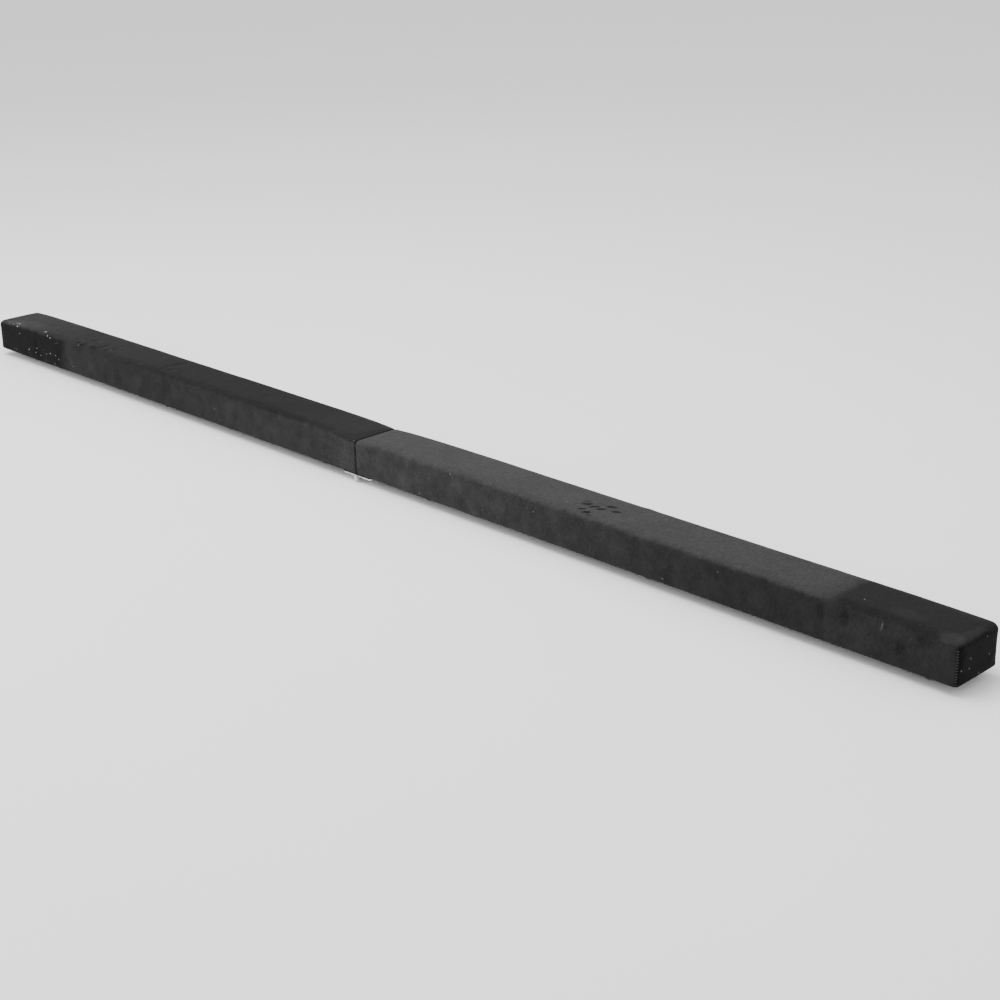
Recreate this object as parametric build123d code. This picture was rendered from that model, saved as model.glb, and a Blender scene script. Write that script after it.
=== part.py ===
"""Folding floor balance beam: two padded, suede-covered timber sections joined by a butt hinge on the underside.

Row frame, in millimetres: +X runs along the beam, +Y across it and +Z up. The origin is on the floor,
in the middle of the beam. The hinge pin lies along Y, just above the origin.

A section is modelled outwards from the hinge, along +X. The right section is used as it is, and the left
one is its mirror image, apart from the hinge knuckles, which interleave, and the feet, which are staggered
so that the two sets pass each other when the beam is folded.
"""

from build123d import *
import os

# ---------------------------------------------------------------- driving dimensions

BEAM_LENGTH = 2438.4
JOINT_GAP = 3.0

# Core: three planed boards laid flat on each other.
BOARD_WIDTH = 88.9
BOARD_THICKNESS = 19.05
BOARD_EASING = 2.0
BOARD_NAMES = ["lower_board", "middle_board", "upper_board"]

# Padding and covering.
TOP_FOAM = 9.5
SIDE_FOAM = 4.5
END_FOAM = 4.5
SUEDE = 1.0
COVER_RADIUS = 8.0
HEM_WIDTH = 38.0
HINGE_HEM_LAP = 10.0
LINER = 0.8
LINER_INSET = 8.0
LINER_TO_LEAF = 2.5
LINER_CORNER = 6.0

# Butt hinge.
LEAF_THICKNESS = 2.5
LEAF_REACH = 38.0
LEAF_INSET = 1.0
LEAF_CORNER = 5.0
LEAF_CHAMFER = 0.4
KNUCKLE_CHAMFER = 0.4
PIN_DIAMETER = 6.0
PIN_RUNNING_GAP = 0.05
KNUCKLE_COUNT = 5
KNUCKLE_END_GAP = 0.4
KNUCKLE_TOP_GAP = 0.3
KNUCKLE_SIDE_GAP = 0.5
PIN_HEAD_DIAMETER = 9.5
PIN_HEAD_HEIGHT = 2.4
PIN_HEAD_ROUNDING = 1.8

# Rubber feet, in pairs along each section. The right section's are shifted outwards by FOOT_STAGGER.
FOOT_HEIGHT = 12.7
FOOT_TOP_DIAMETER = 24.0
FOOT_BOTTOM_DIAMETER = 20.0
FOOT_RIM_RADIUS = 1.5
FOOT_SPACING = 30.0
FOOT_RECESS_DIAMETER = 11.0
FOOT_RECESS_DEPTH = 8.0
FOOT_PAIRS = 3
FOOT_NEAR = 120.0
FOOT_END_MARGIN = 99.2
FOOT_STAGGER = 40.0
WASHER_THICKNESS = 1.2
WASHER_GAP = 0.15

# Wood screws. A flat head's height counts in its length, and a pan head's doesn't.
HINGE_SCREW = {"head": 8.2, "head_height": 2.2, "shank": 4.2, "length": 20.0}
FOOT_SCREW = {"head": 8.4, "head_height": 2.8, "shank": 4.2, "length": 25.0}
PAN_ROUNDING = 1.7
SCREW_POINT = 4.0
SCREW_TIP_DIAMETER = 0.5
SCREW_GAP = 0.15
RECESS_SPAN = 4.6
RECESS_WIDTH = 1.1
RECESS_DEPTH = 1.7

HINGE_SCREW_ROWS = [(17.0, 38.0), (29.0, 15.0)]
CORE_SCREW_COUNT = 5
CORE_SCREW_TIP_COVER = 7.15
CORE_SCREW_Y = 27.0
CORE_SCREW_END_MARGIN = 60.0

# Staples that hold the liner and the turned-under suede to the lower board.
STAPLE_SPAN = 10.0
STAPLE_LEG = 9.0
STAPLE_WIRE_WIDTH = 1.2
STAPLE_WIRE_THICKNESS = 0.7
STAPLE_PITCH = 50.0
STAPLE_EDGE_MARGIN = 5.0

SECTIONS = ["left", "right"]

# ---------------------------------------------------------------- places that follow

# Levels above the floor.
LINER_Z = FOOT_HEIGHT
HEM_Z = LINER_Z + LINER
CORE_Z = HEM_Z + SUEDE
CORE_TOP_Z = CORE_Z + len(BOARD_NAMES) * BOARD_THICKNESS
FOAM_TOP_Z = CORE_TOP_Z + TOP_FOAM
COVER_TOP_Z = FOAM_TOP_Z + SUEDE

# Half widths.
CORE_Y = BOARD_WIDTH / 2
FOAM_Y = CORE_Y + SIDE_FOAM
COVER_Y = FOAM_Y + SUEDE

# Distances from the hinge pin to each layer's near and far end.
COVER_NEAR = JOINT_GAP / 2
COVER_FAR = BEAM_LENGTH / 2
FOAM_NEAR = COVER_NEAR + SUEDE
FOAM_FAR = COVER_FAR - SUEDE
CORE_NEAR = FOAM_NEAR + END_FOAM
CORE_FAR = FOAM_FAR - END_FOAM

# The core screws end a little under the top of the upper board.
CORE_SCREW = dict(HINGE_SCREW, length=CORE_TOP_Z - CORE_Z - CORE_SCREW_TIP_COVER)

# The turned-under suede is wider at the hinge, where the leaf is screwed down on it.
LINER_NEAR = LEAF_REACH + LINER_TO_LEAF
HEM_NEAR = LINER_NEAR + HINGE_HEM_LAP
HEM_FAR = COVER_FAR - HEM_WIDTH
HEM_Y = COVER_Y - HEM_WIDTH
LINER_FAR = COVER_FAR - LINER_INSET
LINER_Y = COVER_Y - LINER_INSET

# The leaf lies against the suede, and its barrel hangs below it.
BARREL_RADIUS = PIN_DIAMETER / 2 + LEAF_THICKNESS
PIN_Z = HEM_Z - KNUCKLE_TOP_GAP - BARREL_RADIUS
LEAF_Y = COVER_Y - LEAF_INSET
KNUCKLE_LENGTH = (2 * LEAF_Y - (KNUCKLE_COUNT - 1) * KNUCKLE_END_GAP) / KNUCKLE_COUNT

# ---------------------------------------------------------------- shared shapes


def block(near, far, half_width, bottom, top):
    """A box between two distances from the hinge and two levels, centred across the beam."""
    middle = Pos((near + far) / 2, 0, (bottom + top) / 2)
    return middle * Box(far - near, 2 * half_width, top - bottom)


def soft_block(near, far, half_width, bottom, top, radius):
    """A block whose upright corners and top edges are rounded alike."""
    solid = block(near, far, half_width, bottom, top)
    solid = fillet(solid.edges().filter_by(Axis.Z), radius)
    return fillet(solid.faces().sort_by(Axis.Z)[-1].edges(), radius)


def upright(radius, bottom, top, place):
    """A cylinder that stands at a place (distance from the hinge, y) between two levels."""
    return Pos(place[0], place[1], (bottom + top) / 2) * Cylinder(radius, top - bottom)


def flat_screw(kind, head_z):
    """A countersunk wood screw on the Z axis that points up, with its head's face at head_z."""
    shank, head = kind["shank"] / 2, kind["head"] / 2
    tip_z = head_z + kind["length"]
    cone = Pos(0, 0, head_z + kind["head_height"] / 2) * Cone(head, shank, kind["head_height"])
    return cone + screw_shank(shank, head_z + kind["head_height"], tip_z)


def pan_screw(kind, seat_z):
    """A wood screw on the Z axis that points up, with a rounded head below seat_z."""
    head, height = kind["head"] / 2, kind["head_height"]
    cap = Pos(0, 0, seat_z - height / 2) * Cylinder(head, height)
    cap = fillet(cap.edges().sort_by(Axis.Z)[0], PAN_ROUNDING)
    return cap + screw_shank(kind["shank"] / 2, seat_z, seat_z + kind["length"])


def screw_shank(radius, bottom, tip_z):
    """A screw's round shank, with the point at its upper end."""
    shank = upright(radius, bottom, tip_z - SCREW_POINT, (0, 0))
    point = Pos(0, 0, tip_z - SCREW_POINT / 2) * Cone(radius, SCREW_TIP_DIAMETER / 2, SCREW_POINT)
    return shank + point


def cross_recess(face_z):
    """The cross that a driver fits, cut upwards from a head's face."""
    bar = Box(RECESS_SPAN, RECESS_WIDTH, RECESS_DEPTH)
    middle = Pos(0, 0, face_z + RECESS_DEPTH / 2)
    return middle * (bar + Rot(0, 0, 90) * bar)


def at_each(shape, places):
    """Copies of a shape on the Z axis, one at each (distance from the hinge, y)."""
    return [Pos(x, y, 0) * shape for x, y in places]


def cut_all(solid, cutters):
    """The solid without any of the cutters that reach it."""
    for cutter in cutters:
        solid = solid - cutter
    return solid


# ---------------------------------------------------------------- where the fasteners go


def hinge_screw_places():
    return [(x, y) for x, half in HINGE_SCREW_ROWS for y in (-half, half)]


def foot_places(side):
    first = FOOT_NEAR + (FOOT_STAGGER if side == "right" else 0)
    step = (COVER_FAR - FOOT_END_MARGIN - FOOT_NEAR) / (FOOT_PAIRS - 1)
    half = FOOT_SPACING / 2
    return [(first + i * step, y) for i in range(FOOT_PAIRS) for y in (-half, half)]


def core_screw_places():
    """Along the core in a zigzag, clear of the hinge and of the ends."""
    first = CORE_NEAR + CORE_SCREW_END_MARGIN
    step = (CORE_FAR - CORE_SCREW_END_MARGIN - first) / (CORE_SCREW_COUNT - 1)
    return [(first + i * step, CORE_SCREW_Y * (-1) ** i) for i in range(CORE_SCREW_COUNT)]


def staple_places():
    """(distance from the hinge, y, turn) for staples along both sides of the liner and across its ends."""
    near, far = LINER_NEAR + STAPLE_EDGE_MARGIN, LINER_FAR - STAPLE_EDGE_MARGIN
    side = LINER_Y - STAPLE_EDGE_MARGIN
    count = round((far - near) / STAPLE_PITCH)
    step = (far - near) / count
    along = [(near + (i + 0.5) * step, y, 0) for i in range(count) for y in (-side, side)]
    across = [(x, y, 90) for x in (near, far) for y in (-side / 2, side / 2)]
    return along + across


# ---------------------------------------------------------------- the parts of one section


def boards(side):
    """The three boards, with a pilot hole for every screw that reaches them."""
    screws = at_each(flat_screw(CORE_SCREW, CORE_Z), core_screw_places())
    screws += at_each(flat_screw(HINGE_SCREW, HEM_Z - LEAF_THICKNESS), hinge_screw_places())
    screws += at_each(pan_screw(FOOT_SCREW, foot_seat_z()), foot_places(side))
    made = {}
    for i, name in enumerate(BOARD_NAMES):
        bottom = CORE_Z + i * BOARD_THICKNESS
        top = bottom + BOARD_THICKNESS
        board = block(CORE_NEAR, CORE_FAR, CORE_Y, bottom, top)
        board = fillet(board.edges().filter_by(Axis.X), BOARD_EASING)
        reaching = [screw for screw in screws if screw.bounding_box().max.Z > bottom]
        made[name] = cut_all(board, reaching)
    return made


def foam_pads():
    """Five pads glued round the core. They share one rounded outside, which the suede is pulled over."""
    outside = soft_block(FOAM_NEAR, FOAM_FAR, FOAM_Y, CORE_Z, FOAM_TOP_Z, COVER_RADIUS - SUEDE)
    side_middle = (CORE_Y + FOAM_Y) / 2
    side_pad = block(CORE_NEAR, CORE_FAR, SIDE_FOAM / 2, CORE_Z, CORE_TOP_Z)
    blanks = {
        "top_foam": block(FOAM_NEAR, FOAM_FAR, FOAM_Y, CORE_TOP_Z, FOAM_TOP_Z),
        "front_foam": Pos(0, -side_middle, 0) * side_pad,
        "back_foam": Pos(0, side_middle, 0) * side_pad,
        "hinge_end_foam": block(FOAM_NEAR, CORE_NEAR, FOAM_Y, CORE_Z, CORE_TOP_Z),
        "outer_end_foam": block(CORE_FAR, FOAM_FAR, FOAM_Y, CORE_Z, CORE_TOP_Z),
    }
    return {name: blank & outside for name, blank in blanks.items()}


def suede_cover(side):
    """The sewn cover: a top, two sides and two ends, turned under all round as a hem on the underside."""
    outside = soft_block(COVER_NEAR, COVER_FAR, COVER_Y, HEM_Z, COVER_TOP_Z, COVER_RADIUS)
    inside = soft_block(FOAM_NEAR, FOAM_FAR, FOAM_Y, CORE_Z, FOAM_TOP_Z, COVER_RADIUS - SUEDE)
    window = block(HEM_NEAR, HEM_FAR, HEM_Y, HEM_Z, CORE_Z)
    places = hinge_screw_places() + foot_places(side)
    return cut_all(outside - inside - window, screw_clearances(places, HEM_Z, CORE_Z))


def base_liner(side):
    """The black cloth that closes the underside, from the hinge leaf to the outer end."""
    sheet = block(LINER_NEAR, LINER_FAR, LINER_Y, LINER_Z, HEM_Z)
    sheet = fillet(sheet.edges().filter_by(Axis.Z), LINER_CORNER)
    return cut_all(sheet, screw_clearances(foot_places(side), LINER_Z, HEM_Z))


def screw_clearances(places, bottom, top):
    """Clearance holes through a layer, for the hinge and foot screws, which share one shank size."""
    radius = max(HINGE_SCREW["shank"], FOOT_SCREW["shank"]) / 2 + SCREW_GAP
    return [upright(radius, bottom, top, place) for place in places]


def core_screws():
    return at_each(flat_screw(CORE_SCREW, CORE_Z) - cross_recess(CORE_Z), core_screw_places())


def staples():
    """U-shaped wires, driven up through the liner and the hem into the lower board."""
    reach = (STAPLE_SPAN - STAPLE_WIRE_THICKNESS) / 2
    bridge_z = LINER_Z - STAPLE_WIRE_THICKNESS / 2
    staple = Pos(0, 0, bridge_z) * Box(STAPLE_SPAN, STAPLE_WIRE_WIDTH, STAPLE_WIRE_THICKNESS)
    leg = Box(STAPLE_WIRE_THICKNESS, STAPLE_WIRE_WIDTH, STAPLE_LEG)
    for x in (-reach, reach):
        staple = staple + Pos(x, 0, LINER_Z + STAPLE_LEG / 2) * leg
    return [Pos(x, y, 0) * Rot(0, 0, turn) * staple for x, y, turn in staple_places()]


# ---------------------------------------------------------------- feet


def foot_seat_z():
    """The level of the foot screw's seat, which is the washer's lower face."""
    return FOOT_RECESS_DEPTH - WASHER_THICKNESS


def foot():
    """A tapered rubber bumper with a deep recess that keeps the screw's head off the floor."""
    taper = Cone(FOOT_BOTTOM_DIAMETER / 2, FOOT_TOP_DIAMETER / 2, FOOT_HEIGHT)
    body = Pos(0, 0, FOOT_HEIGHT / 2) * taper
    body = fillet(body.edges().sort_by(Axis.Z)[0], FOOT_RIM_RADIUS)
    recess = upright(FOOT_RECESS_DIAMETER / 2, 0, FOOT_RECESS_DEPTH, (0, 0))
    hole = upright(FOOT_SCREW["shank"] / 2 + SCREW_GAP, FOOT_RECESS_DEPTH, FOOT_HEIGHT, (0, 0))
    return body - recess - hole


def foot_washer():
    bottom, top = foot_seat_z(), FOOT_RECESS_DEPTH
    disc = upright(FOOT_RECESS_DIAMETER / 2 - WASHER_GAP, bottom, top, (0, 0))
    return disc - upright(FOOT_SCREW["shank"] / 2 + SCREW_GAP, bottom, top, (0, 0))


def foot_screw():
    seat = foot_seat_z()
    return pan_screw(FOOT_SCREW, seat) - cross_recess(seat - FOOT_SCREW["head_height"])


# ---------------------------------------------------------------- hinge


def across(radius, front, back):
    """A cylinder along the hinge pin between two places across the beam."""
    middle = Pos(0, (front + back) / 2, PIN_Z)
    return middle * Rot(90, 0, 0) * Cylinder(radius, back - front)


def knuckle_span(index):
    front = -LEAF_Y + index * (KNUCKLE_LENGTH + KNUCKLE_END_GAP)
    return front, front + KNUCKLE_LENGTH


def hinge_leaf(side):
    """A leaf with its share of the knuckles: the left one has the outer two, and grips the pin."""
    first = 0 if side == "left" else 1
    bore = PIN_DIAMETER / 2 + (0 if side == "left" else PIN_RUNNING_GAP)
    plate = block(0, LEAF_REACH, LEAF_Y, HEM_Z - LEAF_THICKNESS, HEM_Z)
    outer_corners = plate.edges().filter_by(Axis.Z).group_by(Axis.X)[-1]
    leaf = fillet(outer_corners, LEAF_CORNER)
    rim = leaf.faces().sort_by(Axis.Z)[0].edges().filter_by(lambda edge: edge.center().X > LEAF_THICKNESS)
    leaf = chamfer(rim, LEAF_CHAMFER)
    for index in range(KNUCKLE_COUNT):
        front, back = knuckle_span(index)
        if index % 2 == first:
            barrel = across(BARREL_RADIUS, front, back)
            leaf = leaf + chamfer(barrel.edges().filter_by(GeomType.CIRCLE), KNUCKLE_CHAMFER)
            leaf = leaf - across(bore, front, back)
        else:
            leaf = leaf - knuckle_notch(front, back)
    screws = at_each(flat_screw(HINGE_SCREW, HEM_Z - LEAF_THICKNESS), hinge_screw_places())
    holes = screw_clearances(hinge_screw_places(), HEM_Z - LEAF_THICKNESS, HEM_Z)
    return cut_all(leaf, screws + holes)


def knuckle_notch(front, back):
    """The room that a leaf leaves for one of the other leaf's knuckles."""
    reach = BARREL_RADIUS + KNUCKLE_SIDE_GAP
    middle = Pos(0, (front + back) / 2, HEM_Z - LEAF_THICKNESS / 2)
    width = back - front + 2 * KNUCKLE_END_GAP
    return middle * Box(2 * reach, width, 2 * LEAF_THICKNESS)


def hinge_screws():
    face_z = HEM_Z - LEAF_THICKNESS
    screw = flat_screw(HINGE_SCREW, face_z) - cross_recess(face_z)
    return at_each(screw, hinge_screw_places())


def hinge_pin():
    """The pin, with a domed rivet head on each end."""
    pin = across(PIN_DIAMETER / 2, -LEAF_Y, LEAF_Y)
    head_radius = PIN_HEAD_DIAMETER / 2
    for outward in (-1, 1):
        start, end = sorted([outward * LEAF_Y, outward * (LEAF_Y + PIN_HEAD_HEIGHT)])
        head = across(head_radius, start, end)
        rim = head.edges().sort_by(Axis.Y)[0 if outward < 0 else -1]
        pin = pin + fillet(rim, PIN_HEAD_ROUNDING)
    return pin


# ---------------------------------------------------------------- assembly


def section_parts(side):
    """Every part of one section, by its plain name, in the right section's place."""
    parts = boards(side)
    parts.update(foam_pads())
    parts["suede_cover"] = suede_cover(side)
    parts["base_liner"] = base_liner(side)
    parts["core_screws"] = core_screws()
    parts["staples"] = staples()
    parts["hinge_leaf"] = hinge_leaf(side)
    parts["hinge_screws"] = hinge_screws()
    parts["foot_washers"] = at_each(foot_washer(), foot_places(side))
    parts["foot_screws"] = at_each(foot_screw(), foot_places(side))
    for number, rubber in enumerate(at_each(foot(), foot_places(side)), start=1):
        parts[f"foot_{number}"] = rubber
    return parts


def write(name, shape):
    """One STEP file for each node. A list of solids is one group."""
    if isinstance(shape, list):
        shape = Compound(children=shape)
    export_step(shape, f"parts/{name}.step")


def main():
    os.makedirs("parts", exist_ok=True)
    for side in SECTIONS:
        for name, shape in section_parts(side).items():
            solids = shape if isinstance(shape, list) else [shape]
            if side == "left":
                solids = [mirror(solid, about=Plane.YZ) for solid in solids]
            write(f"{side}_{name}", solids if isinstance(shape, list) else solids[0])
    write("hinge_pin", hinge_pin())


main()
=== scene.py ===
"""Looks of a folding floor balance beam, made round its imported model.

All lengths are in metres, in the model's frame: +X along the beam, +Y across it, +Z up, and the hinge
pin over the origin. The left section lies at -X and the right one at +X.
"""

import math

import bmesh
import bpy
from mathutils import Matrix, Vector, noise
from mathutils.bvhtree import BVHTree


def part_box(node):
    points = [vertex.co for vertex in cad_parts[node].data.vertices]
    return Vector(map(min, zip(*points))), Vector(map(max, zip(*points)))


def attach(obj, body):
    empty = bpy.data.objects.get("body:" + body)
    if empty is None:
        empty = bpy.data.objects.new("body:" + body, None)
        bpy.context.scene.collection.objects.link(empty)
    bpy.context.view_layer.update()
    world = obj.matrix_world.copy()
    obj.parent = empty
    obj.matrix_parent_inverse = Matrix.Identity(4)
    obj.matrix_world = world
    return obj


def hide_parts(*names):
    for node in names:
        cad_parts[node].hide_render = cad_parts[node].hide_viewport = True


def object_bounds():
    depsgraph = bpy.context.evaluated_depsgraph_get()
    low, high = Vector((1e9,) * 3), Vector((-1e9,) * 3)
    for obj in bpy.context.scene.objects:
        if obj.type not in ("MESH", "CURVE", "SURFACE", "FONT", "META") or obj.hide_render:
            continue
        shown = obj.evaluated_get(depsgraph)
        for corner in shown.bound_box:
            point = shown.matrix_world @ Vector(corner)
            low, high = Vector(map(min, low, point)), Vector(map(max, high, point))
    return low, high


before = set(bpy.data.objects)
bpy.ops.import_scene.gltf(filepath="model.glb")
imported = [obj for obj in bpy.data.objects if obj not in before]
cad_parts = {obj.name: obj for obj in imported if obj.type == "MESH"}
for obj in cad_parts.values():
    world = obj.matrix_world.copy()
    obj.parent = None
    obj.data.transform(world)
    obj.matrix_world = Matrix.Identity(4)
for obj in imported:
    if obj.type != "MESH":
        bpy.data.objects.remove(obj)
CAD_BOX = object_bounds()

MM = 0.001
SIDES = {"left": -1, "right": 1}

# ---------------------------------------------------------------- sizes of the sewn cover

TOP_EDGE_RADIUS = 10 * MM
CORNER_RADIUS = 7 * MM
BOTTOM_EDGE_RADIUS = 3.5 * MM
JOINT_EDGE_RADIUS = 2.4 * MM
CLOTH_THICKNESS = 1.0 * MM
COVER_FINE_STEP = 2.6 * MM
COVER_COARSE_STEP = 9.0 * MM
COVER_GRADING_ZONE = 36 * MM
HEM_WIDTH = 34 * MM
HINGE_HEM_WIDTH = 47 * MM

# How far the foam under the top is pulled down at an end, and how quickly that fades along the beam.
HINGE_END_DROOP = 4.6 * MM
OUTER_END_DROOP = {"left": 4.0 * MM, "right": 2.2 * MM}
DROOP_FADE = 50 * MM

# The simulated cloth starts this much inside its finished size. It may leave its start shape by the
# cap, and by less at the hinge end.
PUFF_START_INSET = 0.8 * MM
PUFF_CAP = 1.7 * MM
JOINT_PUFF_CAP = 1.0 * MM
CLOTH_STEPS = 20

# The droop and the slow and quick unevenness of the foam under the cloth.
DROOP_FROM_HEIGHT = 0.45
SLOW_RIPPLE = 0.45 * MM
SLOW_RIPPLES_PER_METRE = 9.0
QUICK_RIPPLE = 0.16 * MM
QUICK_RIPPLES_PER_METRE = 38.0
LEFT_RIGHT_RIPPLE_SHIFT = 3.1

# Corner seams.
SEAM_DEPTH = 1.5 * MM
SEAM_LIP = 0.35 * MM
SEAM_HALF_WIDTH = 1.8 * MM
SEAM_TOLERANCE = 0.1 * SEAM_HALF_WIDTH
ON_FACE = 0.001 * MM
STITCH_PITCH = 4.2 * MM
STITCH_LENGTH = 3.4 * MM
STITCH_THICKNESS = 0.8 * MM
STITCH_END_MARGIN = 5 * MM
SEAM_PROBE_REACH = 30 * MM

# ---------------------------------------------------------------- mesh helpers


def graded(low, high, fine, coarse, zone):
    """Places between two ends: a fine step near both of them, a coarse one in between."""
    middle = (low + high) / 2
    reach, places = 0.0, []
    while low + reach < middle - coarse / 2:
        reach += fine + (coarse - fine) * min(1.0, reach / zone)
        places.append(reach)
    return [low + r for r in places] + [high - r for r in reversed(places)]


def block(low, high):
    """A box between two corners."""
    bm = bmesh.new()
    size = high - low
    place = Matrix.Translation((low + high) / 2) @ Matrix.Diagonal((*size, 1.0))
    bmesh.ops.create_cube(bm, size=1.0, matrix=place)
    return bm


def slice_along(bm, axis, places):
    """Cuts every face at these places along an axis."""
    normal = Vector([float(i == axis) for i in range(3)])
    for place in places:
        parts = bm.verts[:] + bm.edges[:] + bm.faces[:]
        bmesh.ops.bisect_plane(bm, geom=parts, plane_co=normal * place, plane_no=normal)


def draw_in(point, low, high, radius):
    """A point on or outside a box, drawn in to the box with its edges rounded to the radius."""
    held = Vector([min(max(point[i], low[i] + radius[i]), high[i] - radius[i]) for i in range(3)])
    out = point - held
    share = Vector([out[i] / radius[i] if radius[i] else 0.0 for i in range(3)])
    if share.length > 1.0:
        share.normalize()
    return held + Vector([share[i] * radius[i] for i in range(3)])


def new_piece(bm, name, material, body, replaces=(), smooth=True):
    """Turns a bmesh into a piece of the object that rides on a body."""
    mesh = bpy.data.meshes.new(name)
    bm.to_mesh(mesh)
    bm.free()
    mesh.materials.append(material)
    mesh.polygons.foreach_set("use_smooth", [smooth] * len(mesh.polygons))
    piece = bpy.data.objects.new(name, mesh)
    bpy.context.scene.collection.objects.link(piece)
    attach(piece, body)
    if replaces:
        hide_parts(*replaces)
    return piece


def subdivision(piece, levels=1):
    """Rounds a piece off between its vertices."""
    made = piece.modifiers.new("subdivision", "SUBSURF")
    made.levels = levels
    made.render_levels = levels
    return made


def wall(piece, thickness):
    """Gives a single surface its thickness, inwards."""
    made = piece.modifiers.new("wall", "SOLIDIFY")
    made.thickness = thickness
    made.offset = -1.0
    made.use_even_offset = True
    return made


# ---------------------------------------------------------------- the shape of a section's top


def along(side, x):
    """How far a place is from the hinge, and from the outer end, of its section."""
    from_hinge = SIDES[side] * x
    return from_hinge, CAD_BOX[1].x - from_hinge


def droop(side, x):
    """How far the padded top hangs below its level at a place along the beam."""
    from_hinge, from_end = along(side, x)
    near_hinge = HINGE_END_DROOP * math.exp(-max(from_hinge, 0.0) / DROOP_FADE)
    near_end = OUTER_END_DROOP[side] * math.exp(-max(from_end, 0.0) / DROOP_FADE)
    return near_hinge + near_end


def sink_top(bm, side, low_z, high_z):
    """Lowers the upper part of a shape by the droop, which fades out towards low_z."""
    for vertex in bm.verts:
        height = (vertex.co.z - low_z) / (high_z - low_z)
        if height > 0.0:
            vertex.co.z -= droop(side, vertex.co.x) * min(height, 1.0)


# ---------------------------------------------------------------- suede covers


def cover_grid(low, high):
    """The cover's closed box, cut into a grid that is finer towards its edges, with rounded edges."""
    bm = block(low, high)
    fine, coarse, zone = COVER_FINE_STEP, COVER_COARSE_STEP, COVER_GRADING_ZONE
    for axis in range(3):
        places = graded(low[axis], high[axis], fine, coarse, zone)
        if axis < 2:
            places[0] = low[axis] + SEAM_HALF_WIDTH
            places[-1] = high[axis] - SEAM_HALF_WIDTH
        slice_along(bm, axis, places)
    return bm


def cover_radius(side, point, low, high):
    """Soft long edges at the top, tighter upright corners, and the tightest edges at the joint."""
    share = (point.z - low.z) / (high.z - low.z)
    upright = CORNER_RADIUS + (TOP_EDGE_RADIUS - CORNER_RADIUS) * share
    from_hinge, from_end = along(side, point.x)
    end = JOINT_EDGE_RADIUS if from_hinge < from_end else upright
    return end, upright, BOTTOM_EDGE_RADIUS if share < 0.5 else TOP_EDGE_RADIUS


def puff(bm, name, low, high, side):
    """Swells the cover like cloth over foam, with its underside held, and caps how far it moves."""
    mesh = bpy.data.meshes.new(name + "_simulated")
    bm.to_mesh(mesh)
    cloth_piece = bpy.data.objects.new(name + "_simulated", mesh)
    bpy.context.scene.collection.objects.link(cloth_piece)
    held = cloth_piece.vertex_groups.new(name="held")
    tight = cloth_piece.vertex_groups.new(name="tight")
    for vertex in mesh.vertices:
        if vertex.co.z < low.z + BOTTOM_EDGE_RADIUS:
            held.add([vertex.index], 1.0, "REPLACE")
        if near_corner_seam(vertex.co, low, high, 2 * SEAM_HALF_WIDTH):
            tight.add([vertex.index], 1.0, "REPLACE")
    set_cloth(cloth_piece)
    scene = bpy.context.scene
    for step in range(1, CLOTH_STEPS + 1):
        scene.frame_set(step)
    swollen = cloth_piece.evaluated_get(bpy.context.evaluated_depsgraph_get()).to_mesh()
    cap_motion(bm, [vertex.co.copy() for vertex in swollen.vertices], side)
    scene.frame_set(1)
    bpy.data.objects.remove(cloth_piece)


def set_cloth(piece):
    """Soft cloth over foam that presses it out from inside, with no weight."""
    cloth = piece.modifiers.new("cloth", "CLOTH").settings
    cloth.quality = 6
    cloth.mass = 0.25
    cloth.tension_stiffness = 12
    cloth.compression_stiffness = 12
    cloth.shear_stiffness = 4
    cloth.bending_stiffness = 0.3
    cloth.use_pressure = True
    cloth.uniform_pressure_force = 4.0
    cloth.vertex_group_mass = "held"
    cloth.vertex_group_shrink = "tight"
    cloth.shrink_min = -0.012
    cloth.shrink_max = 0.01
    cloth.effector_weights.gravity = 0.0


def cap_motion(bm, swollen, side):
    """Moves each vertex towards its swollen place, by no more than the cap, and never inwards."""
    for vertex, place in zip(bm.verts, swollen):
        from_hinge, _ = along(side, vertex.co.x)
        cap = JOINT_PUFF_CAP if from_hinge < CORNER_RADIUS else PUFF_CAP
        move = place - vertex.co
        inward = move.dot(vertex.normal)
        if inward < 0.0:
            move -= vertex.normal * inward
        if move.length > cap:
            move *= cap / move.length
        vertex.co += move


def near_corner_seam(point, low, high, within):
    """Whether a point on the box lies near one of its four upright corners."""
    across = min(point.y - low.y, high.y - point.y)
    along_beam = min(point.x - low.x, high.x - point.x)
    return max(across, along_beam) < within + CORNER_RADIUS and abs(across - along_beam) < within


def sink_seams(seam, lips):
    """Pulls the upright corner lines in, as the thread does, between two small swollen lips."""
    for vertex in seam:
        vertex.co -= vertex.normal * SEAM_DEPTH
    for vertex in lips:
        vertex.co += vertex.normal * SEAM_LIP


def corner_lines(bm, low, high):
    """The vertices on the box's four upright edges, and on the lines beside them, before rounding."""
    seam, lips = [], []
    for vertex in bm.verts:
        along_beam = min(vertex.co.x - low.x, high.x - vertex.co.x)
        across = min(vertex.co.y - low.y, high.y - vertex.co.y)
        off_corner = along_beam + across
        beside_corner = abs(off_corner - SEAM_HALF_WIDTH) < SEAM_TOLERANCE
        if off_corner < SEAM_TOLERANCE:
            seam.append(vertex)
        elif beside_corner and min(along_beam, across) < ON_FACE:
            lips.append(vertex)
    return seam, lips


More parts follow.
